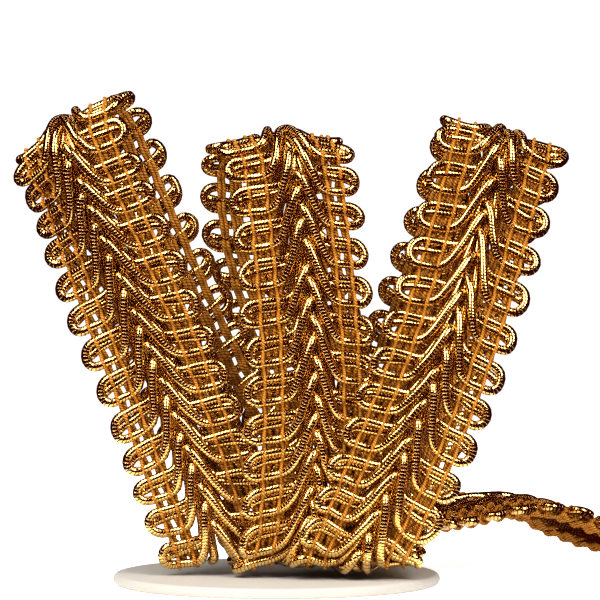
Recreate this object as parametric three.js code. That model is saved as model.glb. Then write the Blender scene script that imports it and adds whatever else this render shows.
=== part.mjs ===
import * as THREE from "three";

// Gold gimp braid, bunched into three tall hairpin loops that stand on a round flange, with one loose tail.
// Millimetres, +Z up, +Y away from the viewer. The origin is the middle of the flange's underside.

const flange = { radius: 24.8, thickness: 1.6, rimRound: 0.7, roundSteps: 3, segments: 72 };

// The braid in its own sense: across is the distance from the spine, along is the distance run.
const braid = {
  pitch: 5.8, // from one scallop to the next on the same edge
  halfWidth: 10.15, // middle to the outer end of a scallop
  waist: 7.5, // middle to the edge between two scallops
  scallopShare: 0.36, // half a scallop's height, as a share of the pitch
  outerWarp: 7.1,
  innerWarp: 4.6,
  armMiddle: 2.4,
  sweep: 0.12, // how far an edge runs ahead of the spine, for each mm across
  slipAcross: 7.1, // how far from the spine an edge's own slip is complete
  rowsPerPitch: 4,
};

// Heights off the middle layer of the cloth, towards its right side.
const relief = {
  wrongSide: -1.0,
  edge: 0.25,
  outerWarp: 0.55,
  innerWarp: 0.75,
  armMiddle: 0.95,
  spine: 1.2,
  cord: 0.25, // how far a gimp cord stands above or below those
};

// The tail from its cut end to the back of the bundle. turn is the width's heading in plan, tilt its rise.
const tailRows = [
  { x: 75.0, y: 42.6, z: 1.0, turn: 84, tilt: 0 },
  { x: 70.0, y: 42.0, z: 1.0, turn: 82, tilt: 0 },
  { x: 65.5, y: 41.2, z: 1.0, turn: 77, tilt: 0 },
  { x: 61.0, y: 40.0, z: 1.5, turn: 70, tilt: 2 },
  { x: 56.5, y: 38.2, z: 2.7, turn: 65, tilt: 5 },
  { x: 51.7, y: 36.0, z: 4.7, turn: 61, tilt: 8 },
  { x: 46.7, y: 33.3, z: 6.7, turn: 60, tilt: 7 },
  { x: 42.6, y: 31.0, z: 8.7, turn: 59, tilt: 4 },
  { x: 37.7, y: 28.0, z: 10.1, turn: 59, tilt: 0 },
  { x: 31.9, y: 24.2, z: 10.3, turn: 58, tilt: -4 },
  { x: 26.3, y: 20.2, z: 9.8, turn: 55, tilt: -7 },
  { x: 21.2, y: 16.6, z: 9.6, turn: 46, tilt: -8 },
  { x: 17.8, y: 13.2, z: 10.7, turn: 26, tilt: -12 },
  { x: 16.2, y: 11.0, z: 12.8, turn: 8, tilt: -17 },
];

// One row for each upright run, in the order in which the braid passes them. The foot and the crest are
// where its bends begin, bow is its sideways curve with its peak at the share bowAt, and the tilts are
// the rise of its width at the foot, in the leg and at the crest. lean is how far the spine lies off the
// middle of the width, and the droops are how far each half falls back from the spine below the crest.
const legRows = [
  { name: "rightBack", footX: 16.6, footY: 10.2, footZ: 15.6, crestX: 33.2, crestY: 5.2, crestZ: 63.2,
    bow: 0, bowAt: 0.5, footTilt: -19, legTilt: -19, crestTilt: -15, lean: 0.4, droopLeft: 0, droopRight: 0 },
  { name: "rightFront", footX: 12.4, footY: -13, footZ: 5.65, crestX: 33.1, crestY: -5, crestZ: 63.2,
    bow: 1.7, bowAt: 0.5, footTilt: -3, legTilt: -19, crestTilt: -15, lean: 0, droopLeft: 0, droopRight: 0 },
  { name: "middleBack", footX: 13.5, footY: 7, footZ: 7.4, crestX: -1.4, crestY: 6.2, crestZ: 61.2,
    bow: -1.9, bowAt: 0.75, footTilt: 17, legTilt: 15, crestTilt: 2, lean: 0.4, droopLeft: 3, droopRight: 9 },
  { name: "middleFront", footX: 4.4, footY: -9, footZ: 8.4, crestX: 3.3, crestY: -7.8, crestZ: 61.2,
    bow: 2, bowAt: 0.42, footTilt: 14, legTilt: 3, crestTilt: 2, lean: 0.8, droopLeft: 9, droopRight: 9 },
  { name: "leftBack", footX: 0.9, footY: 2.6, footZ: 8.9, crestX: -26.2, crestY: 6.5, crestZ: 63.1,
    bow: -1.4, bowAt: 0.5, footTilt: 19, legTilt: 23, crestTilt: 28, lean: 0.2, droopLeft: 32, droopRight: 2 },
  { name: "leftFront", footX: -7.6, footY: -4.4, footZ: 8.2, crestX: -29.3, crestY: -8.4, crestZ: 63.1,
    bow: 0.8, bowAt: 0.5, footTilt: 17, legTilt: 21, crestTilt: 28, lean: 1.2, droopLeft: 32, droopRight: 2 },
];

// The braid is pulled unevenly: at a share of a run's height, the scallops of its left and right edge sit
// this many repeats further along than evenly spaced ones would.
const slipRows = [
  { run: "rightBack", share: 0.7, left: -0.76, right: -0.76 },
  { run: "rightFront", share: 1, left: -0.42, right: -0.27 },
  { run: "rightFront", share: 0.85, left: -0.3, right: -0.36 },
  { run: "rightFront", share: 0.5, left: -0.1, right: -0.05 },
  { run: "rightFront", share: 0.33, left: -0.17, right: -0.13 },
  { run: "rightFront", share: 0.2, left: -0.29, right: 0.16 },
  { run: "rightFront", share: 0, left: -0.76, right: 0.8 },
  { run: "middleBack", share: 0.7, left: -0.02, right: -0.2 },
  { run: "middleFront", share: 1, left: -0.26, right: -0.28 },
  { run: "middleFront", share: 0.85, left: -0.41, right: -0.38 },
  { run: "middleFront", share: 0.3, left: -0.46, right: -0.36 },
  { run: "middleFront", share: 0, left: -0.8, right: -0.48 },
  { run: "leftBack", share: 0.8, left: -0.9, right: -0.72 },
  { run: "leftFront", share: 1, left: -0.35, right: -0.41 },
  { run: "leftFront", share: 0.85, left: -0.67, right: -0.71 },
  { run: "leftFront", share: 0.6, left: -0.93, right: -0.71 },
  { run: "leftFront", share: 0.4, left: -0.84, right: -0.8 },
  { run: "leftFront", share: 0.2, left: -0.93, right: -0.94 },
  { run: "leftFront", share: 0, left: -1.02, right: -0.9 },
];

// One row for each bend between two runs, with the droop of both halves in its middle, and the short end
// that is tucked up behind the left loop.
const bendRows = [
  { from: "rightBack", to: "rightFront", depth: 5, corner: 5, droopLeft: 0, droopRight: 0, over: true },
  { from: "rightFront", to: "middleBack", depth: 2.2, corner: 2.2, droopLeft: 0, droopRight: 0, over: false },
  { from: "middleBack", to: "middleFront", depth: 7, corner: 7, droopLeft: 9, droopRight: 9, over: true },
  { from: "middleFront", to: "leftBack", depth: 2.2, corner: 2.2, droopLeft: 0, droopRight: 0, over: false },
  { from: "leftBack", to: "leftFront", depth: 7.8, corner: 7.8, droopLeft: 12, droopRight: 3, over: true },
];
const tuck = { gap: 3.6, length: 7.0 };

const legStart = 0.45; // share of a run's height up to which it keeps the depth of its foot
const legBlend = 0.35; // share of a run's height over which it takes its own tilt
const droopShare = 0.45; // share of a run's height over which its halves droop towards the crest
const routeStep = 0.5;
const degree = Math.PI / 180;

function mix(a, b, share) {
  return a + (b - a) * share;
}

function ease(share) {
  const t = Math.min(Math.max(share, 0), 1);
  return t * t * (3 - 2 * t);
}

// A place on the centre line: its point, the heading and rise of the width, the droop of its halves, and
// the spine's lean.
function place(x, y, z, { turn = 0, tilt = 0, droopLeft = 0, droopRight = 0, lean = 0 }) {
  return { point: new THREE.Vector3(x, y, z), turn, tilt, droopLeft, droopRight, lean };
}

function mixPlaces(a, b, share) {
  const { x, y, z } = a.point.clone().lerp(b.point, share);
  return place(x, y, z, {
    turn: mix(a.turn, b.turn, share),
    tilt: mix(a.tilt, b.tilt, share),
    droopLeft: mix(a.droopLeft, b.droopLeft, share),
    droopRight: mix(a.droopRight, b.droopRight, share),
    lean: mix(a.lean, b.lean, share),
  });
}

// A point of an upright run at the share t of its height, from the foot to the crest.
function legAt(row, t) {
  const skew = Math.log(0.5) / Math.log(row.bowAt);
  const side = row.bow * Math.sin(Math.PI * Math.pow(t, skew));
  const depth = ease((t - legStart) / (1 - legStart));
  const tilt = t < legBlend
    ? mix(row.footTilt, row.legTilt, ease(t / legBlend))
    : mix(row.legTilt, row.crestTilt, ease((t - legBlend) / (1 - legBlend)));
  const droop = ease((t - 1 + droopShare) / droopShare);
  return place(
    mix(row.footX, row.crestX, t) + side,
    mix(row.footY, row.crestY, depth),
    mix(row.footZ, row.crestZ, t),
    { tilt, droopLeft: row.droopLeft * droop, droopRight: row.droopRight * droop, lean: row.lean },
  );
}

// The way that the run leaves its foot or its crest.
function legEnd(row, t) {
  const nudge = 0.01;
  const inside = t < 0.5 ? t + nudge : t - nudge;
  return legAt(row, t).point.sub(legAt(row, inside).point).normalize();
}

function legPlaces(row, upward) {
  const steps = Math.round((row.crestZ - row.footZ) / routeStep);
  const places = [];
  for (let i = 0; i <= steps; i++) places.push(legAt(row, upward ? i / steps : 1 - i / steps));
  return places;
}

// A bend in outline: a quarter turn, a straight stretch and a quarter turn, between two runs 2 * half apart.
function bendOutline(half, { depth, corner }, share) {
  const radius = Math.min(half, corner);
  const quarter = (Math.PI / 2) * radius;
  const straight = 2 * (half - radius);
  const run = share * (2 * quarter + straight);
  if (run < quarter) {
    const angle = run / radius;
    return { across: -half + radius * (1 - Math.cos(angle)), deep: depth * Math.sin(angle) };
  }
  if (run <= quarter + straight) return { across: -half + radius + run - quarter, deep: depth };
  const angle = (2 * quarter + straight - run) / radius;
  return { across: half - radius * (1 - Math.cos(angle)), deep: depth * Math.sin(angle) };
}

function bendPlaces(start, end, startWay, endWay, bend) {
  const half = Math.abs(end.point.y - start.point.y) / 2;
  const steps = Math.round((Math.PI * bend.depth + 2 * Math.abs(half - bend.depth)) / routeStep);
  const places = [];
  for (let i = 1; i < steps; i++) {
    const share = i / steps;
    const { across, deep } = bendOutline(half, bend, share);
    const way = startWay.clone().lerp(endWay, share);
    const { x, y, z } = start.point.clone().lerp(end.point, (across / half + 1) / 2).addScaledVector(way, deep);
    const even = mixPlaces(start, end, share);
    const inside = Math.sin(Math.PI * share);
    const droopLeft = mix(even.droopLeft, bend.droopLeft, inside);
    const droopRight = mix(even.droopRight, bend.droopRight, inside);
    places.push(place(x, y, z, { ...even, droopLeft, droopRight }));
  }
  return places;
}

// The tail's end lies flat, so no place of it is lower than the strip's wrong side allows.
function tailPlaces(row) {
  const rows = tailRows.map((r) => place(r.x, r.y, r.z, r));
  const all = [...rows, legAt(row, 0), legAt(row, 0.05)];
  const curve = new THREE.CatmullRomCurve3(all.map((p) => p.point), false, "catmullrom", 0.5);
  const perRow = 12;
  const places = [];
  for (let i = 0; i < rows.length * perRow; i++) {
    const share = i / perRow;
    const at = Math.floor(share);
    const { x, y, z } = curve.getPoint(share / (all.length - 1));
    places.push(place(x, y, Math.max(z, -relief.wrongSide), mixPlaces(all[at], all[at + 1], ease(share - at))));
  }
  return places;
}

function tuckPlaces(row) {
  const foot = legAt(row, 0);
  const down = legEnd(row, 0);
  const back = place(foot.point.x, foot.point.y + tuck.gap, foot.point.z, foot);
  const bend = { depth: tuck.gap / 2, corner: tuck.gap / 2, droopLeft: 0, droopRight: 0 };
  const places = bendPlaces(foot, back, down, down, bend);
  const steps = Math.round(tuck.length / routeStep);
  for (let i = 0; i <= steps; i++) {
    const { x, y, z } = back.point.clone().addScaledVector(down, -i * routeStep);
    places.push(place(x, y, z, foot));
  }
  return places;
}

// The whole centre line, from the tail's cut end to the tucked end, and where each upright run has its foot
// and its crest in it.
function routePlaces() {
  const rows = Object.fromEntries(legRows.map((row) => [row.name, row]));
  const places = tailPlaces(legRows[0]);
  const ends = {};
  const addLeg = (row, upward) => {
    const first = places.length;
    places.push(...legPlaces(row, upward));
    const last = places.length - 1;
    ends[row.name] = upward ? { foot: first, crest: last } : { foot: last, crest: first };
  };
  addLeg(legRows[0], true);
  for (const bend of bendRows) {
    const from = rows[bend.from];
    const to = rows[bend.to];
    const share = bend.over ? 1 : 0;
    const start = legAt(from, share);
    const end = legAt(to, share);
    places.push(...bendPlaces(start, end, legEnd(from, share), legEnd(to, share), bend));
    addLeg(to, !bend.over);
  }
  places.push(...tuckPlaces(legRows[legRows.length - 1]));
  return { places, ends };
}

// The centre line by distance run. frameAt gives the place there and, for the left and the right half of the
// strip, the way across from the spine and the way up from the right side. runOf gives where a thread lies
// that would be at an even distance run if the braid were straight.
function makeRoute() {
  const { places, ends } = routePlaces();
  const runs = [0];
  for (let i = 1; i < places.length; i++) {
    runs.push(runs[i - 1] + places[i].point.distanceTo(places[i - 1].point));
  }
  function at(run) {
    let i = 1;
    while (i < runs.length - 1 && runs[i] < run) i++;
    return mixPlaces(places[i - 1], places[i], (run - runs[i - 1]) / (runs[i] - runs[i - 1]));
  }
  function frameAt(run) {
    const here = at(run);
    const turn = here.turn * degree;
    const tilt = here.tilt * degree;
    const width = new THREE.Vector3(
      Math.cos(turn) * Math.cos(tilt), -Math.sin(turn) * Math.cos(tilt), Math.sin(tilt));
    const along = at(run + routeStep).point.sub(at(run - routeStep).point).normalize();
    const out = along.clone().cross(width).normalize();
    const side = (sign) => {
      const droop = sign * (sign < 0 ? here.droopLeft : here.droopRight) * degree;
      return {
        across: width.clone().applyAxisAngle(along, -droop),
        up: out.clone().applyAxisAngle(along, -droop),
      };
    };
    return { point: here.point, lean: here.lean, left: side(-1), right: side(1) };
  }
  const slips = slipRows.map(({ run, share, left, right }) => {
    return { run: mix(runs[ends[run].foot], runs[ends[run].crest], share), left, right };
  });
  function slipAt(run, edge) {
    const next = slips.findIndex((slip) => slip.run >= run);
    if (next < 0) return slips[slips.length - 1][edge];
    if (next === 0) return slips[0][edge];
    const a = slips[next - 1];
    const b = slips[next];
    return mix(a[edge], b[edge], (run - a.run) / (b.run - a.run));
  }
  function runOf(run, across) {
    const left = slipAt(run, "left");
    const right = slipAt(run, "right");
    const own = Math.min(Math.abs(across) / braid.slipAcross, 1);
    const slip = mix((left + right) / 2, across < 0 ? left : right, own);
    return run + slip * braid.pitch + braid.sweep * Math.abs(across);
  }
  return { length: runs[runs.length - 1], frameAt, runOf };
}

// A scallop's reach across at a share of the pitch: widest at 0, the waist at one half.
function edgeAcross(phase) {
  const off = Math.abs(phase - Math.round(phase)) / braid.scallopShare;
  return mix(braid.waist, braid.halfWidth, Math.sqrt(Math.max(0, 1 - off * off)));
}

// The ripple of a column's two cords, and of the herringbone arms that rise towards the spine.
function scallopRipple(phase) {
  return -relief.cord * Math.cos(4 * Math.PI * phase);
}

function armRipple(phase, across) {
  const rise = 1 - across / braid.innerWarp;
  return relief.cord * Math.cos(2 * Math.PI * (phase + rise - 0.25));
}

// One section of the braid: [across, height] pairs over the right side and back along the wrong side.
function sectionPairs(run) {
  const half = (side) => {
    const phase = run / braid.pitch + (side < 0 ? 0 : 0.5);
    const edge = edgeAcross(phase);
    return {
      front: [
        [side * edge, relief.edge],
        [side * Math.min(braid.outerWarp, edge - 0.3), relief.outerWarp + scallopRipple(phase)],
        [side * braid.innerWarp, relief.innerWarp + scallopRipple(phase)],
        [side * braid.armMiddle, relief.armMiddle + armRipple(phase, braid.armMiddle)],
      ],
      edge,
    };
  };
  const left = half(-1);
  const right = half(1);
  const spine = [0, relief.spine + scallopRipple(run / braid.pitch)];
  const back = [right.edge, braid.innerWarp, 0, -braid.innerWarp, -left.edge];
  return [
    ...left.front,
    spine,
    ...right.front.reverse(),
    ...back.map((across) => [across, relief.wrongSide]),
  ];
}

// A closed body through rings of points, each ring with the same count.
function skinRings(rings) {
  const count = rings[0].length;
  const positions = rings.flat().flatMap((p) => [p.x, p.y, p.z]);
  const faces = [];
  for (let i = 0; i < rings.length - 1; i++) {
    for (let j = 0; j < count; j++) {
      const a = i * count + j;
      const b = i * count + ((j + 1) % count);
      faces.push(a, b + count, b, a, a + count, b + count);
    }
  }
  const last = (rings.length - 1) * count;
  for (let j = 1; j < count - 1; j++) {
    faces.push(0, j, j + 1);
    faces.push(last, last + j + 1, last + j);
  }
  const geometry = new THREE.BufferGeometry();
  geometry.setAttribute("position", new THREE.Float32BufferAttribute(positions, 3));
  geometry.setIndex(faces);
  geometry.computeVertexNormals();
  return geometry;
}

function braidMesh() {
  const route = makeRoute();
  const spacing = braid.pitch / braid.rowsPerPitch;
  const rings = [];
  for (let row = 0; row * spacing < route.length + 2 * braid.pitch; row++) {
    const run = row * spacing;
    const ends = [-braid.halfWidth, 0, braid.halfWidth].map((across) => route.runOf(run, across));
    if (Math.min(...ends) < 0 || Math.max(...ends) > route.length) continue;
    rings.push(sectionPairs(run).map(([across, height]) => {
      const frame = route.frameAt(route.runOf(run, across));
      const side = across < 0 ? frame.left : frame.right;
      const leaned = across - (frame.lean * Math.abs(across)) / braid.halfWidth;
      return frame.point.addScaledVector(side.across, leaned).addScaledVector(side.up, height);
    }));
  }
  const material = new THREE.MeshStandardMaterial({ color: 0xd8a028, roughness: 0.35, metalness: 0.9 });
  const mesh = new THREE.Mesh(skinRings(rings), material);
  mesh.name = "gimp_braid";
  return mesh;
}

function flangeMesh() {
  const { radius, thickness, rimRound, roundSteps, segments } = flange;
  const profile = [new THREE.Vector2(0, 0)];
  const corner = (centreZ, from) => {
    for (let i = 0; i <= roundSteps; i++) {
      const angle = from + (i / roundSteps) * (Math.PI / 2);
      profile.push(new THREE.Vector2(
        radius - rimRound + rimRound * Math.cos(angle), centreZ + rimRound * Math.sin(angle)));
    }
  };
  corner(rimRound, -Math.PI / 2);
  corner(thickness - rimRound, 0);
  profile.push(new THREE.Vector2(0, thickness));
  const geometry = new THREE.LatheGeometry(profile, segments);
  const material = new THREE.MeshStandardMaterial({ color: 0xe4ddd3, roughness: 0.55, metalness: 0 });
  const mesh = new THREE.Mesh(geometry, material);
  mesh.rotation.x = Math.PI / 2;
  mesh.name = "spool_flange";
  return mesh;
}

const part = new THREE.Group();
part.add(braidMesh(), flangeMesh());

export default part;
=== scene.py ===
import bpy
import math
import numpy as np
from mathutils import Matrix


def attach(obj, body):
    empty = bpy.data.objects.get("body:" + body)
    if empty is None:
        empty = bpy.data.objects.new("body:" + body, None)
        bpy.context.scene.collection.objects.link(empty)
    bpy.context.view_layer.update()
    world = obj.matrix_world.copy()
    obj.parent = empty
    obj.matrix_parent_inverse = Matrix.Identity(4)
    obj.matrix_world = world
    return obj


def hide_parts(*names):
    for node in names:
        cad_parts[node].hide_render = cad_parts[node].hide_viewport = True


# gold gimp braid, bunched into three hairpin loops on a round flange, with one loose tail
# sizes are millimetres in the tables and metres in Blender

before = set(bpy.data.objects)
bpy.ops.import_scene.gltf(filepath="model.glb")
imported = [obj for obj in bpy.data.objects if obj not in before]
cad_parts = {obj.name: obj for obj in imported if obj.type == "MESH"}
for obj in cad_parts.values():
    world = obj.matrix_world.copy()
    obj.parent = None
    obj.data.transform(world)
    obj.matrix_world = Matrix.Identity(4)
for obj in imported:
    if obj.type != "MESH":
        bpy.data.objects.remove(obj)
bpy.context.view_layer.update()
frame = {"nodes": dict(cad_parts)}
mm = 0.001
print("frame loaded:", ", ".join(frame["nodes"]))


# camera: a long lens, level with the upper loops and tipped down a little

shot = {
    "x": 3.56, "distance": 600.0, "height": 59.8,
    "aimHeight": 43.0,  # what the middle of the image shows
    "viewWidth": 90.9,  # what the image spans at the middle of the object
    "sensor": 36.0,
    "clip": (0.01, 50),  # the nearest and farthest that it sees, in metres
}


def addCamera():
    data = bpy.data.cameras.new("longLens")
    data.sensor_width = shot["sensor"]
    data.lens = shot["sensor"] * shot["distance"] / shot["viewWidth"]
    data.clip_start, data.clip_end = shot["clip"]
    camera = bpy.data.objects.new("longLens", data)
    bpy.context.scene.collection.objects.link(camera)
    camera.location = (shot["x"] * mm, -shot["distance"] * mm, shot["height"] * mm)
    tip = math.atan2(shot["height"] - shot["aimHeight"], shot["distance"])
    camera.rotation_euler = (math.pi / 2 - tip, 0, 0)
    bpy.context.scene.camera = camera


addCamera()


# the braid's centre line: the solid's, but the front feet of the middle and the left loop stand lower and
# further forward, the front run of the left loop lies further left, the scallops are fitted to that, and
# the flat end of the tail lies higher, as far as the warps on the wrong side reach

braid = {
    "pitch": 5.8,  # from one scallop to the next on the same edge
    "halfWidth": 10.15,  # middle to the outer end of a scallop
    "sweep": 0.12,  # how far an edge runs ahead of the spine, for each mm across
    "slipAcross": 7.1,  # how far from the spine an edge's own slip is complete
    "wrongSide": -2.25,  # how deep the warps reach on the wrong side
}

# the tail from its cut end: x, y, z, heading of the width in plan, rise of the width
tailRows = [
    (75.0, 42.6, 1.0, 84, 0),
    (70.0, 42.0, 1.0, 82, 0),
    (65.5, 41.2, 1.0, 77, 0),
    (61.0, 40.0, 1.5, 70, 2),
    (56.5, 38.2, 2.7, 65, 5),
    (51.7, 36.0, 4.7, 61, 8),
    (46.7, 33.3, 6.7, 60, 7),
    (42.6, 31.0, 8.7, 59, 4),
    (37.7, 28.0, 10.1, 59, 0),
    (31.9, 24.2, 10.3, 58, -4),
    (26.3, 20.2, 9.8, 55, -7),
    (21.2, 16.6, 9.6, 46, -8),
    (17.8, 13.2, 10.7, 26, -12),
    (16.2, 11.0, 12.8, 8, -17),
]

# each upright run: foot, crest, sideways bow and the share of the height where it peaks, rise of the
# width in degrees at the foot, in the leg and at the crest, how far the spine lies off the middle, and
# droop in degrees of the left and the right half at the crest
legRows = {
    "rightBack": dict(foot=(16.6, 10.2, 15.6), crest=(33.2, 5.2, 63.2), bow=0, bowAt=0.5,
                      footTilt=-19, legTilt=-19, crestTilt=-15, lean=0.4, droop=(0, 0)),
    "rightFront": dict(foot=(12.4, -13.0, 5.65), crest=(33.1, -5.0, 63.2), bow=1.7, bowAt=0.5,
                       footTilt=-3, legTilt=-19, crestTilt=-15, lean=0.0, droop=(0, 0)),
    "middleBack": dict(foot=(13.5, 7.0, 7.4), crest=(-1.4, 6.2, 61.2), bow=-1.9, bowAt=0.75,
                       footTilt=17, legTilt=15, crestTilt=2, lean=0.4, droop=(3, 9)),
    "middleFront": dict(foot=(4.4, -10.2, 7.0), crest=(3.3, -7.8, 61.2), bow=2.0, bowAt=0.42,
                        footTilt=14, legTilt=3, crestTilt=2, lean=0.8, droop=(9, 9)),
    "leftBack": dict(foot=(0.9, 2.6, 8.9), crest=(-26.2, 6.5, 63.1), bow=-1.4, bowAt=0.5,
                     footTilt=19, legTilt=23, crestTilt=28, lean=0.2, droop=(32, 2)),
    "leftFront": dict(foot=(-7.9, -5.8, 5.0), crest=(-30.6, -8.4, 63.1), bow=0.8, bowAt=0.5,
                      footTilt=3, legTilt=21, crestTilt=28, lean=-0.1, droop=(32, 2)),
}

# slip of the scallops, by run and share of its height: how many repeats those of the left and the right
# edge sit further along than evenly spaced ones
slipRows = [
    ("rightBack", 0.7, -0.76, -0.76),
    ("rightFront", 1.0, -0.42, -0.27),
    ("rightFront", 0.85, -0.30, -0.36),
    ("rightFront", 0.5, -0.10, -0.05),
    ("rightFront", 0.33, -0.17, -0.13),
    ("rightFront", 0.2, -0.29, 0.16),
    ("rightFront", 0.0, -0.76, 0.80),
    ("middleBack", 0.7, -0.02, -0.20),
    ("middleFront", 1.0, -0.20, -0.20),
    ("middleFront", 0.85, -0.36, -0.33),
    ("middleFront", 0.3, -0.38, -0.28),
    ("middleFront", 0.0, -0.76, -0.42),
    ("leftBack", 0.8, -0.20, -0.06),
    ("leftFront", 1.0, 0.32, 0.25),
    ("leftFront", 0.85, -0.07, -0.09),
    ("leftFront", 0.6, -0.26, -0.03),
    ("leftFront", 0.4, -0.15, -0.12),
    ("leftFront", 0.2, -0.22, -0.32),
    ("leftFront", 0.0, -0.14, -0.30),
]

# the bends between the runs: depth, corner radius, droop of both halves in the middle, and whether it
# goes over the top
bendRows = [
    ("rightBack", "rightFront", 5.0, 5.0, (0, 0), True),
    ("rightFront", "middleBack", 2.2, 2.2, (0, 0), False),
    ("middleBack", "middleFront", 7.0, 7.0, (9, 9), True),
    ("middleFront", "leftBack", 2.2, 2.2, (0, 0), False),
    ("leftBack", "leftFront", 7.8, 7.8, (12, 3), True),
]
tuck = {"gap": 3.6, "length": 7.0}  # the hidden end, folded up behind the left loop's front run
legStart = 0.45  # share of a run's height up to which it keeps the depth of its foot
legBlend = 0.35  # share of a run's height over which it takes its own tilt
droopShare = 0.45  # share of a run's height over which its halves droop towards the crest
endShare = 0.01  # share of a run's height that shows which way it ends
entryShare = 0.05  # share of the first run's height that steers the tail into it
routeStep = 0.5  # mm between two places
tailSteps = 12  # places for each row of the tail's table


def mix(a, b, share):
    return a + (b - a) * share


def ease(share):
    t = min(max(share, 0), 1)
    return t * t * (3 - 2 * t)


# a place on the centre line is one row: x, y, z, turn, tilt, left and right droop, lean
def place(point, turn=0, tilt=0, droop=(0, 0), lean=0):
    return np.array([*point, turn, tilt, *droop, lean], dtype=float)


def legAt(row, t):
    skew = math.log(0.5) / math.log(row["bowAt"])
    (footX, footY, footZ), (crestX, crestY, crestZ) = row["foot"], row["crest"]
    if t < legBlend:
        tilt = mix(row["footTilt"], row["legTilt"], ease(t / legBlend))
    else:
        tilt = mix(row["legTilt"], row["crestTilt"], ease((t - legBlend) / (1 - legBlend)))
    side = row["bow"] * math.sin(math.pi * max(t, 0) ** skew)
    point = (mix(footX, crestX, t) + side,
             mix(footY, crestY, ease((t - legStart) / (1 - legStart))),
             mix(footZ, crestZ, t))
    droop = np.array(row["droop"]) * ease((t - 1 + droopShare) / droopShare)
    return place(point, 0, tilt, droop, row["lean"])


# the way in which the line leaves a run, at its foot or at its crest
def legEnd(row, t):
    inside = t + endShare if t < 0.5 else t - endShare
    way = legAt(row, t)[:3] - legAt(row, inside)[:3]
    return way / np.linalg.norm(way)


def legPlaces(row, upward):
    steps = round((row["crest"][2] - row["foot"][2]) / routeStep)
    return [legAt(row, i / steps if upward else 1 - i / steps) for i in range(steps + 1)]


# a bend in outline: a quarter turn, a straight stretch and a quarter turn
def bendOutline(half, depth, corner, share):
    radius = min(half, corner)
    quarter = math.pi / 2 * radius
    straight = 2 * (half - radius)
    run = share * (2 * quarter + straight)
    if run < quarter:
        angle = run / radius
        return -half + radius * (1 - math.cos(angle)), depth * math.sin(angle)
    if run <= quarter + straight:
        return -half + radius + run - quarter, depth
    angle = (2 * quarter + straight - run) / radius
    return half - radius * (1 - math.cos(angle)), depth * math.sin(angle)


def bendPlaces(start, end, startWay, endWay, depth, corner, droop):
    half = abs(end[1] - start[1]) / 2
    steps = round((math.pi * depth + 2 * abs(half - depth)) / routeStep)
    places = []
    for i in range(1, steps):
        share = i / steps
        across, deep = bendOutline(half, depth, corner, share)
        spot = mix(start, end, share)
        spot[:3] = mix(start[:3], end[:3], (across / half + 1) / 2) + deep * mix(startWay, endWay, share)
        spot[5:7] = mix(spot[5:7], np.array(droop), math.sin(math.pi * share))
        places.append(spot)
    return places


def catmullRom(a, b, c, d, t):
    return 0.5 * (2 * b + (c - a) * t + (2 * a - 5 * b + 4 * c - d) * t * t
                  + (3 * b - a - 3 * c + d) * t * t * t)


def tailPlaces(row):
    rows = [place(r[:3], r[3], r[4]) for r in tailRows] + [legAt(row, 0), legAt(row, entryShare)]
    before = [2 * rows[0] - rows[1]] + rows
    places = []
    for i in range(len(tailRows) * tailSteps):
        at, t = i // tailSteps, (i % tailSteps) / tailSteps
        spot = mix(rows[at], rows[at + 1], ease(t))
        after = rows[at + 2] if at + 2 < len(rows) else rows[-1]
        spot[:3] = catmullRom(before[at], rows[at], rows[at + 1], after, t)[:3]
        spot[2] = max(spot[2], -braid["wrongSide"])
        places.append(spot)
    return places


def tuckPlaces(row):
    foot, down = legAt(row, 0), legEnd(row, 0)
    back = foot.copy()
    back[1] += tuck["gap"]
    places = bendPlaces(foot, back, down, down, tuck["gap"] / 2, tuck["gap"] / 2, (0, 0))
    for i in range(round(tuck["length"] / routeStep) + 1):
        spot = back.copy()
        spot[:3] -= down * i * routeStep
        places.append(spot)
    return places


# every place, and for each upright run the place numbers of its foot and crest
def routePlaces():
    places, ends = tailPlaces(legRows["rightBack"]), {}

    def addLeg(name, upward):
        first = len(places)
        places.extend(legPlaces(legRows[name], upward))
        last = len(places) - 1
        ends[name] = (first, last) if upward else (last, first)

    addLeg("rightBack", True)
    for start, end, depth, corner, droop, over in bendRows:
        a, b, t = legRows[start], legRows[end], 1 if over else 0
        fromTo = (legAt(a, t), legAt(b, t), legEnd(a, t), legEnd(b, t))
        places += bendPlaces(*fromTo, depth, corner, droop)
        addLeg(end, not over)
    return np.array(places + tuckPlaces(legRows["leftFront"])), ends


route, legEnds = routePlaces()
routeRun = np.concatenate([[0], np.cumsum(np.linalg.norm(np.diff(route[:, :3], axis=0), axis=1))])
routeLength = routeRun[-1]
slipRuns = [mix(*routeRun[list(legEnds[leg])], share) for leg, share, _, _ in slipRows]
print("centre line: %.0f mm" % routeLength)


def unit(v):
    return v / np.linalg.norm(v, axis=-1, keepdims=True)


def routeAt(run):
    return np.stack([np.interp(run, routeRun, route[:, i]) for i in range(route.shape[1])], axis=-1)


# how far along the scallops slip: fully at the edge, and by the mean of both edges at the spine
def slipAt(run, across):
    left, right = (np.interp(run, slipRuns, [row[i] for row in slipRows]) for i in (2, 3))
    share = np.minimum(np.abs(across) / braid["slipAcross"], 1)
    return braid["pitch"] * mix((left + right) / 2, np.where(across < 0, left, right), share)


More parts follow.
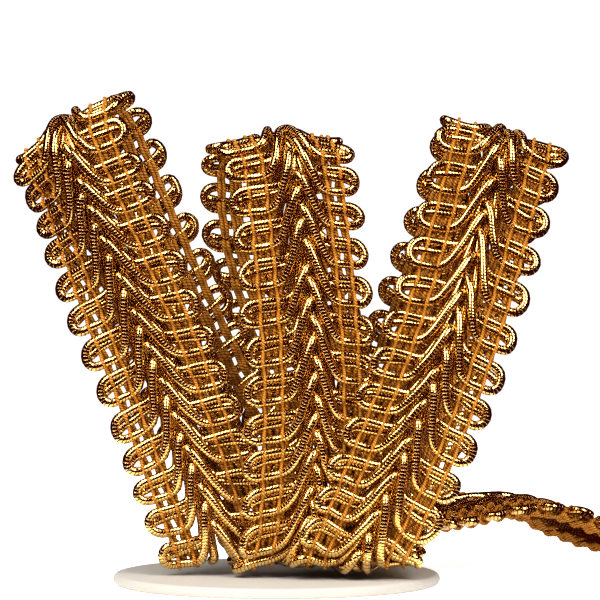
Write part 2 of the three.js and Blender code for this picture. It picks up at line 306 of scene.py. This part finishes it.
# points of the strip in metres, from the distance run along it, the distance across and the height off
# its middle layer
def onStrip(run, across, height):
    run = run + slipAt(run, across) + braid["sweep"] * np.abs(across)
    here = routeAt(run)
    along = unit(routeAt(run + routeStep)[:, :3] - routeAt(run - routeStep)[:, :3])
    turn, tilt = np.radians(here[:, 3]), np.radians(here[:, 4])
    width = np.stack([np.cos(turn) * np.cos(tilt), -np.sin(turn) * np.cos(tilt), np.sin(tilt)], axis=-1)
    out = unit(np.cross(along, width))
    droop = np.sign(across) * np.radians(np.where(across < 0, here[:, 5], here[:, 6]))
    cos, sin = np.cos(droop)[:, None], np.sin(droop)[:, None]
    sideways, up = width * cos - out * sin, out * cos + width * sin
    leaned = across - here[:, 7] * np.abs(across) / braid["halfWidth"]
    return (here[:, :3] + sideways * leaned[:, None] + up * height[:, None]) * mm


# materials

def hexColour(text):
    parts = [int(text[i:i + 2], 16) / 255 for i in (0, 2, 4)]
    return [p / 12.92 if p <= 0.04045 else ((p + 0.055) / 1.055) ** 2.4 for p in parts] + [1.0]


# adds one node: settings are its properties, links its inputs, each a value or another node's output
def addNode(tree, kind, settings=None, **links):
    node = tree.nodes.new(kind)
    for key, value in (settings or {}).items():
        setattr(node, key, value)
    for key, value in links.items():
        socket = node.inputs[int(key[2:])] if key.startswith("in") else node.inputs[key.replace("_", " ")]
        if isinstance(value, bpy.types.NodeSocket):
            tree.links.new(value, socket)
        else:
            socket.default_value = value
    return node


def newMaterial(name):
    material = bpy.data.materials.new(name)
    material.use_nodes = True
    tree = material.node_tree
    tree.nodes.clear()
    return material, tree


foil = {
    "turn": 0.5,  # mm from one turn of the foil strip to the next
    "starts": 1,  # strips wound side by side
    "wander": 0.35, "wanderScale": 900.0,  # a turn strays by that share of one, anew every 1.1 mm
    "seamFrom": 0.34, "seamDeep": 0.06,  # where the rounding into the seam begins, and its depth in mm
    "crown": 0.6,  # how far the flat of a turn is rounded over
    "gold": "EECA70", "deepGold": "DA9E3A", "seam": "4A1C04",
    "patchScale": 160.0, "patchSpan": (0.3, 0.7),  # bright and duller patches 6 mm long
    "roughness": (0.05, 0.11),
    "filmRoughness": 0.06, "filmIor": 1.65,
}


# polyester film, metallised behind, slit and wound round a cotton core: it mirrors like metal, in
# streaks along the cord that the clear face of the film whitens, and the seam between two turns is a
# fine dark tick
def foilMaterial():
    material, tree = newMaterial("metallisedFoilGimp")
    cordPlace = addNode(tree, "ShaderNodeUVMap", {"uv_map": "cordMm"})
    parts = addNode(tree, "ShaderNodeSeparateXYZ", in0=cordPlace.outputs[0])
    turns = addNode(tree, "ShaderNodeMath", {"operation": "DIVIDE"},
                    in0=parts.outputs[1], in1=foil["turn"])
    helix = addNode(tree, "ShaderNodeMath", {"operation": "MULTIPLY_ADD"},
                    in0=parts.outputs[0], in1=foil["starts"], in2=turns.outputs[0])
    coords = addNode(tree, "ShaderNodeTexCoord")
    stray = addNode(tree, "ShaderNodeTexNoise", Vector=coords.outputs["Object"],
                    Scale=foil["wanderScale"], Detail=1.0)
    uneven = addNode(tree, "ShaderNodeMath", {"operation": "MULTIPLY_ADD"},
                     in0=stray.outputs["Fac"], in1=foil["wander"], in2=helix.outputs[0])
    share = addNode(tree, "ShaderNodeMath", {"operation": "FRACT"}, in0=uneven.outputs[0])
    middle = addNode(tree, "ShaderNodeMath", {"operation": "SUBTRACT"},
                     in0=share.outputs[0], in1=0.5)
    away = addNode(tree, "ShaderNodeMath", {"operation": "ABSOLUTE"}, in0=middle.outputs[0])
    # 0 on the foil's flat, 1 in the seam
    seam = addNode(tree, "ShaderNodeMapRange", {"interpolation_type": "SMOOTHSTEP"},
                   Value=away.outputs[0], From_Min=foil["seamFrom"], From_Max=0.5, To_Min=0.0, To_Max=1.0)
    patches = addNode(tree, "ShaderNodeTexNoise", Vector=coords.outputs["Object"],
                      Scale=foil["patchScale"], Detail=3.0)
    body = addNode(tree, "ShaderNodeMix", {"data_type": "RGBA"}, Factor=patches.outputs["Fac"],
                   in6=hexColour(foil["gold"]), in7=hexColour(foil["deepGold"]))
    colour = addNode(tree, "ShaderNodeMix", {"data_type": "RGBA"}, Factor=seam.outputs[0],
                     in6=body.outputs[2], in7=hexColour(foil["seam"]))
    # the flat is a little crowned, and falls off into the seam
    crown = addNode(tree, "ShaderNodeMath", {"operation": "POWER"}, in0=away.outputs[0], in1=2.0)
    height = addNode(tree, "ShaderNodeMath", {"operation": "MULTIPLY_ADD"},
                     in0=crown.outputs[0], in1=-foil["crown"], in2=1.0)
    depth = addNode(tree, "ShaderNodeMath", {"operation": "SUBTRACT"},
                    in0=height.outputs[0], in1=seam.outputs[0])
    bump = addNode(tree, "ShaderNodeBump", Strength=1.0, Distance=foil["seamDeep"] * mm,
                   Height=depth.outputs[0])
    (least, most), (smoothest, roughest) = foil["patchSpan"], foil["roughness"]
    rough = addNode(tree, "ShaderNodeMapRange", Value=patches.outputs["Fac"],
                    From_Min=least, From_Max=most, To_Min=smoothest, To_Max=roughest)
    shader = addNode(tree, "ShaderNodeBsdfPrincipled", Base_Color=colour.outputs[2], Metallic=1.0,
                     Roughness=rough.outputs[0], Normal=bump.outputs[0], Coat_Weight=1.0,
                     Coat_Roughness=foil["filmRoughness"], Coat_IOR=foil["filmIor"],
                     Coat_Normal=bump.outputs[0])
    addNode(tree, "ShaderNodeOutputMaterial", Surface=shader.outputs[0])
    return material


thread = {
    "plies": 2, "twist": 0.9,  # mm for one whole turn of the plies
    "groove": 0.1, "grooveStrength": 0.7,  # depth between the plies in mm
    # painted light and painted shade: the same amber as lit on the crown of a ply and as shaded in the
    # groove between plies
    "light": "BE8220", "dark": "72380A",
    "roughness": 0.5, "lustre": 0.3,
}


# two-ply rayon warp: smooth filaments with a silky amber lustre and a steep twist; its amber is painted
# lighter on the crown of each ply and painted darker as shade in the groove between two plies
def rayonMaterial():
    material, tree = newMaterial("rayonWarpThread")
    cordPlace = addNode(tree, "ShaderNodeUVMap", {"uv_map": "cordMm"})
    parts = addNode(tree, "ShaderNodeSeparateXYZ", in0=cordPlace.outputs[0])
    turns = addNode(tree, "ShaderNodeMath", {"operation": "DIVIDE"},
                    in0=parts.outputs[1], in1=thread["twist"])
    helix = addNode(tree, "ShaderNodeMath", {"operation": "ADD"},
                    in0=turns.outputs[0], in1=parts.outputs[0])
    angle = addNode(tree, "ShaderNodeMath", {"operation": "MULTIPLY"},
                    in0=helix.outputs[0], in1=2 * math.pi * thread["plies"])
    wave = addNode(tree, "ShaderNodeMath", {"operation": "SINE"}, in0=angle.outputs[0])
    ply = addNode(tree, "ShaderNodeMapRange", Value=wave.outputs[0], From_Min=-1.0, From_Max=1.0)
    # painted shade in the grooves between the plies and painted light on their crowns, wound with the
    # twist like the bump
    colour = addNode(tree, "ShaderNodeMix", {"data_type": "RGBA"}, Factor=ply.outputs[0],
                     in6=hexColour(thread["dark"]), in7=hexColour(thread["light"]))
    bump = addNode(tree, "ShaderNodeBump", Strength=thread["grooveStrength"],
                   Distance=thread["groove"] * mm, Height=ply.outputs[0])
    shader = addNode(tree, "ShaderNodeBsdfPrincipled", Base_Color=colour.outputs[2],
                     Roughness=thread["roughness"], Specular_IOR_Level=thread["lustre"],
                     Normal=bump.outputs[0])
    addNode(tree, "ShaderNodeOutputMaterial", Surface=shader.outputs[0])
    return material


plastic = {
    "cream": "AEA9A1", "shade": "A6A098", "cloudScale": 70.0,  # faint clouds 14 mm across
    "grainScale": 2500.0,  # a grain of 0.4 mm, drawn coarse enough to show
    "grainDeep": 0.03, "grainStrength": 0.15,  # depth in mm
    "roughness": 0.6, "gloss": 0.2,
    "scatter": 0.1, "scatterReach": (0.002, 0.0016, 0.0012),  # light in the plastic, in metres
}


# injection-moulded polypropylene: waxy, off-white, with a faint mould grain
def plasticMaterial():
    material, tree = newMaterial("mouldedPolypropylene")
    coords = addNode(tree, "ShaderNodeTexCoord")
    cloud = addNode(tree, "ShaderNodeTexNoise", Vector=coords.outputs["Object"],
                    Scale=plastic["cloudScale"], Detail=3.0)
    colour = addNode(tree, "ShaderNodeMix", {"data_type": "RGBA"}, Factor=cloud.outputs["Fac"],
                     in6=hexColour(plastic["cream"]), in7=hexColour(plastic["shade"]))
    grain = addNode(tree, "ShaderNodeTexNoise", Vector=coords.outputs["Object"],
                    Scale=plastic["grainScale"], Detail=2.0)
    bump = addNode(tree, "ShaderNodeBump", Strength=plastic["grainStrength"],
                   Distance=plastic["grainDeep"] * mm, Height=grain.outputs["Fac"])
    shader = addNode(tree, "ShaderNodeBsdfPrincipled", Base_Color=colour.outputs[2],
                     Roughness=plastic["roughness"], Specular_IOR_Level=plastic["gloss"],
                     Normal=bump.outputs[0], Subsurface_Weight=plastic["scatter"],
                     Subsurface_Radius=plastic["scatterReach"])
    addNode(tree, "ShaderNodeOutputMaterial", Surface=shader.outputs[0])
    return material


# meshes

# smooth line through knots, with as many samples after each knot as steps says
def smoothLine(knots, steps):
    gap = np.linalg.norm(np.diff(knots[:, :3], axis=0), axis=1)
    slope = np.diff(knots, axis=0) / gap[:, None]
    way = np.empty_like(knots)
    way[0], way[-1] = slope[0], slope[-1]
    before, after = gap[:-1, None], gap[1:, None]
    way[1:-1] = (slope[:-1] * after + slope[1:] * before) / (before + after)
    line = []
    for i, count in enumerate(steps[:len(knots) - 1]):
        t = (np.arange(count) / count)[:, None]
        line.append(knots[i] * (2 * t**3 - 3 * t**2 + 1) + way[i] * gap[i] * (t**3 - 2 * t**2 + t)
                    + knots[i + 1] * (3 * t**2 - 2 * t**3) + way[i + 1] * gap[i] * (t**3 - t**2))
    return np.concatenate(line + [knots[-1:]])


askew = (0.31, 0.53, 0.79)  # a direction that no tube starts in


# the two ways across a tube at each of its points, turned no more than the line itself turns
def tubeFrames(points):
    tangents = unit(np.gradient(points, axis=0))
    normal = unit(np.cross(tangents[0], askew))
    normals = [normal]
    for tangent in tangents[1:]:
        normal = normal - tangent * normal.dot(tangent)
        normal = normal / math.sqrt(normal.dot(normal))
        normals.append(normal)
    normals = np.array(normals)
    return normals, np.cross(tangents, normals)


# vertices, faces and uv of one closed tube; u goes once round, v is the length in mm
def tube(points, radii, sides):
    normals, others = tubeFrames(points)
    angle = 2 * math.pi * np.arange(sides) / sides
    cos, sin = np.cos(angle)[None, :, None], np.sin(angle)[None, :, None]
    ring = normals[:, None] * cos + others[:, None] * sin
    vertices = (points[:, None] + ring * radii[:, None, None]).reshape(-1, 3)
    count = len(points)
    i, j = np.meshgrid(np.arange(count - 1), np.arange(sides), indexing="ij")
    k = (j + 1) % sides
    faces = np.stack([i * sides + j, i * sides + k, (i + 1) * sides + k, (i + 1) * sides + j], axis=-1)
    length = np.concatenate([[0], np.cumsum(np.linalg.norm(np.diff(points, axis=0), axis=1))]) / mm
    u = np.stack([j, j + 1, j + 1, j], axis=-1) / sides
    v = np.stack([length[i], length[i], length[i + 1], length[i + 1]], axis=-1)
    uv = np.stack([u, v], axis=-1)
    return vertices, faces.reshape(-1, 4), uv.reshape(-1, 4, 2)


# one object from several tubes
def tubesObject(name, tubes, material):
    vertices, quads, caps, uvs, start = [], [], [], [], 0
    for verts, faces, uv, sides in tubes:
        vertices.append(verts)
        quads.append(faces + start)
        uvs.append(uv)
        last = start + len(verts) - sides
        caps.append(list(range(start + sides - 1, start - 1, -1)))
        caps.append(list(range(last, last + sides)))
        start += len(verts)
    mesh = bpy.data.meshes.new(name)
    mesh.from_pydata(np.concatenate(vertices).tolist(), [], np.concatenate(quads).tolist() + caps)
    layer = mesh.uv_layers.new(name="cordMm")
    flat = np.zeros((len(mesh.loops), 2), dtype=np.float32)
    sideUv = np.concatenate(uvs).reshape(-1, 2)
    flat[:len(sideUv)] = sideUv
    layer.uv.foreach_set("vector", flat.ravel())
    smooth = [True] * (len(mesh.polygons) - len(caps)) + [False] * len(caps)
    mesh.polygons.foreach_set("use_smooth", smooth)
    mesh.materials.append(material)
    mesh.update()
    piece = bpy.data.objects.new(name, mesh)
    bpy.context.scene.collection.objects.link(piece)
    return piece


# the two gimp cords, one down each side, each laid in scallops and herringbone arms

gimp = {
    "radius": 0.72, "pinched": 0.67,  # the warps pull the cord in a little
    "sides": 10,
    "uneven": 0.13,  # how far a scallop strays from the even one, in mm
    "outerFrom": 7.1, "outerOver": 2.4,  # mm across: the part of a scallop that is wider or narrower
    "tallShare": 0.4,  # share of the unevenness that a scallop's height takes
    "knotSteady": 3, "knotFlat": 0.5,  # a knot strays a third as far, and half of that in height
    "endRoom": 9.0,  # from either end of the strip to the first and last scallop
    "seed": 7,
}

# one repeat of the path: across, up the strip, height, pinched or not, samples to the next knot
gimpPath = [
    (3.4, 1.74, -0.42, 0, 2),
    (4.6, 1.76, -0.22, 1, 3),
    (7.1, 1.76, -0.22, 1, 2),
    (8.1, 1.70, -0.20, 0, 2),
    (8.98, 1.18, -0.15, 0, 2),
    (9.43, 0.00, -0.10, 0, 2),
    (8.98, -1.18, -0.15, 0, 2),
    (8.1, -1.70, -0.20, 0, 2),
    (7.1, -1.76, -0.22, 1, 3),
    (4.6, -1.70, -0.15, 1, 2),
    (3.5, -1.20, 0.15, 0, 2),
    (2.65, 0.20, 0.50, 0, 3),
    (1.75, 2.40, 0.75, 0, 3),
    (1.00, 4.60, 0.85, 0, 3),
    (0.35, 6.10, 0.60, 0, 2),
    (-0.10, 6.80, 0.05, 0, 2),
    (0.05, 6.40, -0.60, 0, 2),
    (0.50, 4.80, -0.80, 0, 3),
    (1.30, 0.60, -0.80, 0, 3),
    (2.00, -2.80, -0.75, 0, 2),
    (2.50, -3.80, -0.60, 0, 2),
]


# the float on the wrong side that fills the upper part of each scallop

floatCord = {
    "radius": 0.7,
    "steady": 2, "stray": (1, 1.5, 0.5),  # a knot strays half as far as a scallop: across, up, in height
    "samples": 2,  # for each knot
    "seed": 8,
}

# across, up the strip, height
floatPath = [
    (2.3, 1.10, -0.55),
    (3.4, 0.80, -0.74),
    (4.6, 0.65, -0.80),
    (6.6, 0.55, -0.80),
    (8.0, 0.40, -0.68),
    (8.9, 0.10, -0.40),
]


def scallopRun(number, side):
    return (number + (0 if side < 0 else -0.5)) * braid["pitch"]


# the numbers of the scallops that lie wholly on the strip
def scallopNumbers(side):
    numbers = np.arange(int(routeLength / braid["pitch"]) + 2)
    run = scallopRun(numbers, side)
    run = run + slipAt(run, side * braid["halfWidth"])
    return numbers[(run > gimp["endRoom"]) & (run < routeLength - gimp["endRoom"])]


def gimpTube(side, chance):
    knots, steps = [], []
    for number in scallopNumbers(side):
        centre = scallopRun(number, side)
        wideBy, tallBy = chance.normal(0, gimp["uneven"], 2)
        for across, up, height, pinch, count in gimpPath:
            stray = chance.normal(0, gimp["uneven"] / gimp["knotSteady"], 3)
            outer = max(0, (across - gimp["outerFrom"]) / gimp["outerOver"])
            knots.append((across + wideBy * outer + stray[0],
                          centre - up * (1 + tallBy * gimp["tallShare"]) + stray[1],
                          height + stray[2] * gimp["knotFlat"],
                          mix(gimp["radius"], gimp["pinched"], pinch)))
            steps.append(count)
    line = smoothLine(np.array(knots), steps)
    points = onStrip(line[:, 1], side * line[:, 0], line[:, 2])
    return *tube(points, line[:, 3] * mm, gimp["sides"]), gimp["sides"]


def addGimp(material):
    chance = np.random.default_rng(gimp["seed"])
    piece = tubesObject("gimp_cords", [gimpTube(side, chance) for side in (-1, 1)], material)
    print("gimp cords: %d faces" % len(piece.data.polygons))
    return piece


def addFloats(material):
    chance = np.random.default_rng(floatCord["seed"])
    tubes = []
    for side in (-1, 1):
        for number in scallopNumbers(side):
            stray = chance.normal(0, gimp["uneven"] / floatCord["steady"], (len(floatPath), 3))
            knots = np.array(floatPath) + stray * floatCord["stray"]
            line = smoothLine(knots, [floatCord["samples"]] * len(knots))
            points = onStrip(scallopRun(number, side) - line[:, 1], side * line[:, 0], line[:, 2])
            radii = np.full(len(points), floatCord["radius"] * mm)
            tubes.append((*tube(points, radii, gimp["sides"]), gimp["sides"]))
    piece = tubesObject("wrong_side_floats", tubes, material)
    print("floats: %d" % len(tubes))
    return piece


# the warps: on each side two threads over the cords and five under them

warp = {
    "over": (4.6, 7.1), "under": (4.15, 4.75, 5.35, 6.55, 7.15),  # mm across from the spine
    "radius": 0.27, "underRadius": 0.36,
    "middle": -0.22,  # height of the cords that the threads hold
    "reach": 0.86, "dip": 0.62,  # over the cords: how far off them, and the fall between two of them
    "underReach": 1.42, "underDip": 0.35,
    "aside": 0.10,  # how far a thread sways
    "sides": 5, "perPitch": 12,
    "endRoom": 5.5,  # from either end of the strip
}


def warpTube(side, across, over):
    first = warp["endRoom"] - slipAt(0, side * across)
    last = routeLength - warp["endRoom"] - slipAt(routeLength, side * across)
    run = np.linspace(first, last, int((last - first) / braid["pitch"] * warp["perPitch"]))
    phase = (run - scallopRun(0, side)) / braid["pitch"]
    between = 1 + np.cos(4 * math.pi * phase)  # two cords to a repeat
    if over:
        height = warp["middle"] + warp["reach"] - warp["dip"] * between
    else:
        height = warp["middle"] - warp["underReach"] + warp["underDip"] * between
    sway = warp["aside"] * np.sin(2 * math.pi * phase + (0 if over else math.pi))
    points = onStrip(run, side * (across + sway), height)
    radius = warp["radius"] if over else warp["underRadius"]
    return *tube(points, np.full(len(points), radius * mm), warp["sides"]), warp["sides"]


def addWarps(material):
    tubes = []
    for side in (-1, 1):
        tubes += [warpTube(side, across, True) for across in warp["over"]]
        tubes += [warpTube(side, across, False) for across in warp["under"]]
    print("warp threads: %d" % len(tubes))
    return tubesObject("warp_threads", tubes, material)


# the round flange, turned about its axis

flange = {
    "radius": 24.8, "thickness": 1.6, "rim": 0.75,
    "capShare": 0.5,  # share of the radius that one flat face takes up, top and bottom
    "rimSteps": 8, "segments": 160,
}


def addFlange(material):
    radius, thick, rim = flange["radius"], flange["thickness"], flange["rim"]
    profile = []
    for middle, start in ((rim, -math.pi / 2), (thick - rim, 0)):
        for i in range(flange["rimSteps"] + 1):
            angle = start + i / flange["rimSteps"] * math.pi / 2
            profile.append((radius - rim + rim * math.cos(angle), middle + rim * math.sin(angle)))
    cap = radius * flange["capShare"]
    profile = [(cap, 0)] + profile + [(cap, thick)]
    segments = flange["segments"]
    turns = [2 * math.pi * k / segments for k in range(segments)]
    vertices = [(r * math.cos(turn) * mm, r * math.sin(turn) * mm, z * mm)
                for r, z in profile for turn in turns]
    faces = []
    for low in range(0, (len(profile) - 1) * segments, segments):
        high = low + segments
        for k in range(segments):
            after = (k + 1) % segments
            faces.append((low + k, low + after, high + after, high + k))
    faces.append(tuple(reversed(range(segments))))
    faces.append(tuple(range(len(vertices) - segments, len(vertices))))
    mesh = bpy.data.meshes.new("flange_disc")
    mesh.from_pydata(vertices, [], faces)
    mesh.polygons.foreach_set("use_smooth", [True] * len(mesh.polygons))
    mesh.materials.append(material)
    piece = bpy.data.objects.new("flange_disc", mesh)
    bpy.context.scene.collection.objects.link(piece)
    return piece


foilGimp = foilMaterial()
gimpCords = addGimp(foilGimp)
floats = addFloats(foilGimp)
warpThreads = addWarps(rayonMaterial())
flangeDisc = addFlange(plasticMaterial())
for piece in (gimpCords, floats, warpThreads, flangeDisc):
    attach(piece, "root")
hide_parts("gimp_braid")
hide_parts("spool_flange")
print("pieces made")


# studio: a pale floor, a tall soft box on either side of the camera, a small one above on the left and a
# dim room that the foil mirrors

studio = {
    "floor": "F4F2EF", "floorRoughness": 0.6,
    "glow": 0.62, "farGlow": 0.95,  # the boards glow, so the floor reads as white
    "floorSize": 0.36, "cardSize": 0.045,  # radii; only the card under the object shows in the foil
    "cardHole": 0.001,  # in the middle of the card, under the flange
    "ringSides": 96,
    "seen": 1.0,  # what the camera sees behind the object
    "soft": 0.45,  # what lights matt surfaces
    "mirrored": 0.05, "room": "F0602A",  # what the foil mirrors between the soft boxes: a dim, warm room
    "boxDistance": 0.8, "boxAim": 0.04,  # how far off the soft boxes stand, and the height that they face
}

# soft boxes: name, bearing from the front and height above the horizon in degrees, width and height in
# metres, radiance
softBoxes = [
    ("leftBox", -35, 38, 0.31, 0.53, 11.0),
    ("rightBox", 35, 38, 0.31, 0.53, 11.0),
    ("topBox", -60, 66, 0.30, 0.30, 8.0),
]


# painted board: matt and even, so it takes a soft shadow and shows no gloss
def floorMaterial(name, glow):
    material, tree = newMaterial(name)
    pale = hexColour(studio["floor"])
    shader = addNode(tree, "ShaderNodeBsdfPrincipled", Base_Color=pale,
                     Roughness=studio["floorRoughness"], Emission_Color=pale, Emission_Strength=glow)
    addNode(tree, "ShaderNodeOutputMaterial", Surface=shader.outputs[0])
    return material


# a flat ring that faces up
def addFloor(name, inner, outer, material, mirrored):
    count = studio["ringSides"]
    angle = 2 * math.pi * np.arange(count) / count
    ring = np.stack([np.cos(angle), np.sin(angle), 0 * angle], axis=-1)
    vertices = np.concatenate([ring * inner, ring * outer]).tolist()
    faces = [(count + k, count + (k + 1) % count, (k + 1) % count, k) for k in range(count)]
    mesh = bpy.data.meshes.new(name)
    mesh.from_pydata(vertices, [], faces)
    mesh.materials.append(material)
    floor = bpy.data.objects.new(name, mesh)
    floor.visible_glossy = mirrored
    bpy.context.scene.collection.objects.link(floor)


def addSoftBox(name, bearing, rise, width, height, radiance):
    data = bpy.data.lights.new(name, "AREA")
    data.shape = "RECTANGLE"
    data.size, data.size_y, data.energy = width, height, radiance * math.pi * width * height
    lamp = bpy.data.objects.new(name, data)
    bpy.context.scene.collection.objects.link(lamp)
    side, up = math.radians(bearing), math.radians(rise)
    way = (math.sin(side) * math.cos(up), -math.cos(side) * math.cos(up), math.sin(up))
    far = studio["boxDistance"]
    lamp.location = (far * way[0], far * way[1], far * way[2] + studio["boxAim"])
    lamp.rotation_euler = (math.pi / 2 - up, 0, side)
    lamp.visible_camera = False


def addWorld():
    world = bpy.data.worlds.new("whiteStudio")
    bpy.context.scene.world = world
    world.use_nodes = True
    tree = world.node_tree
    tree.nodes.clear()
    rays = addNode(tree, "ShaderNodeLightPath")
    matt = addNode(tree, "ShaderNodeMix", {"data_type": "FLOAT"}, Factor=rays.outputs["Is Diffuse Ray"],
                   in2=studio["mirrored"], in3=studio["soft"])
    level = addNode(tree, "ShaderNodeMix", {"data_type": "FLOAT"}, Factor=rays.outputs["Is Camera Ray"],
                    in2=matt.outputs[0], in3=studio["seen"])
    tint = addNode(tree, "ShaderNodeMix", {"data_type": "RGBA"}, Factor=rays.outputs["Is Glossy Ray"],
                   in6=(1, 1, 1, 1), in7=hexColour(studio["room"]))
    sky = addNode(tree, "ShaderNodeBackground", Color=tint.outputs[2], Strength=level.outputs[0])
    addNode(tree, "ShaderNodeOutputWorld", Surface=sky.outputs[0])


addFloor("whiteCard", studio["cardHole"], studio["cardSize"],
         floorMaterial("paintedBoard", studio["glow"]), True)
addFloor("paleFloor", studio["cardSize"], studio["floorSize"],
         floorMaterial("litBoard", studio["farGlow"]), False)
for box in softBoxes:
    addSoftBox(*box)
addWorld()
bpy.context.scene.view_settings.view_transform = "Standard"
bpy.context.scene.view_settings.look = "Medium High Contrast"
print("studio lit")
